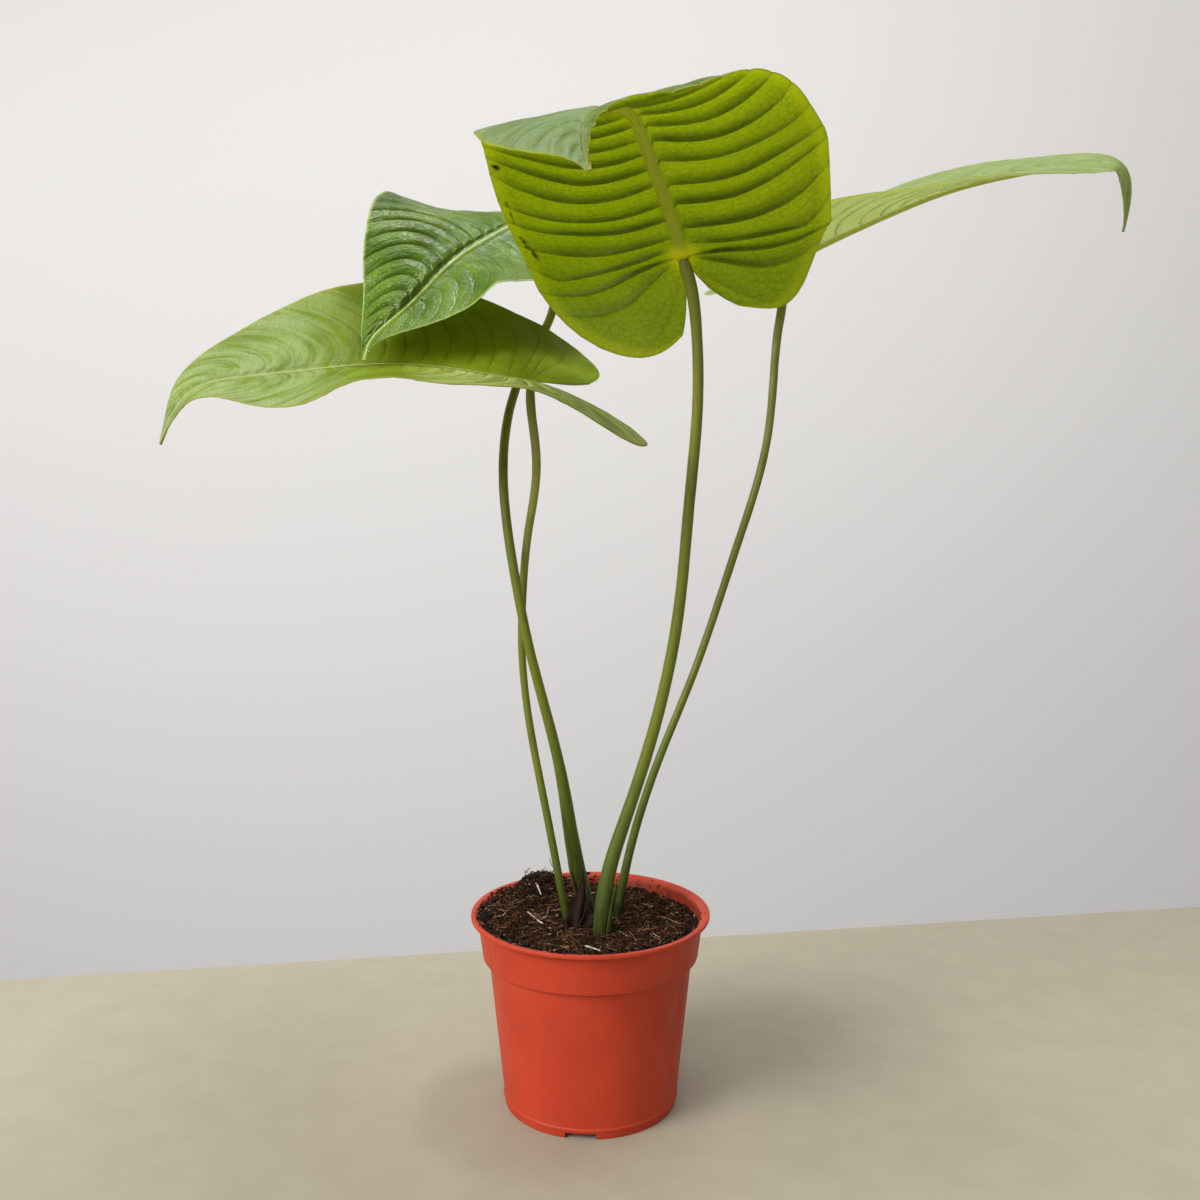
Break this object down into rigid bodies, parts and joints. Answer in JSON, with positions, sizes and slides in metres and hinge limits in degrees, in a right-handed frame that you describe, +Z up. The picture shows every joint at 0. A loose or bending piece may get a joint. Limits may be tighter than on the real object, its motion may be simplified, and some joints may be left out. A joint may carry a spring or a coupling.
{
  "type": "potted anthurium",
  "caption": "House plant with tall slender stalks and large pleated heart-shaped leaves, growing from soil in a round plastic nursery pot.",
  "frame": {"origin": "centre of the pot's foot, on the surface that the pot stands on", "axes": "+Z up along the pot's axis, +X to the right and -Y towards someone who faces the plant"},
  "size_m": [0.4704, 0.3094, 0.4856],
  "materials": {
    "pot": "smooth moulded terracotta-orange plastic with a soft sheen",
    "soil": "loose dark potting soil with brown fibres",
    "crown": "short green-brown stem base",
    "leaf": "satin pleated leaf blade, glossier above and yellower below",
    "stalk": "smooth green leaf stalk with a faint sheen",
    "scale": "dry brown papery scale",
    "sheath": "fresh green sheath"
  },
  "bodies": {
    "root": {"pot": "pot", "soil": "soil", "crown": "crown", "stalk_1": "stalk", "stalk_2": "stalk", "stalk_3": "stalk", "stalk_4": "stalk", "leaf_1": "leaf", "leaf_2": "leaf", "leaf_3": "leaf", "leaf_4": "leaf", "bud_scale_1": "scale", "bud_scale_2": "scale", "green_sheath": "sheath"}
  },
  "joints": []
}
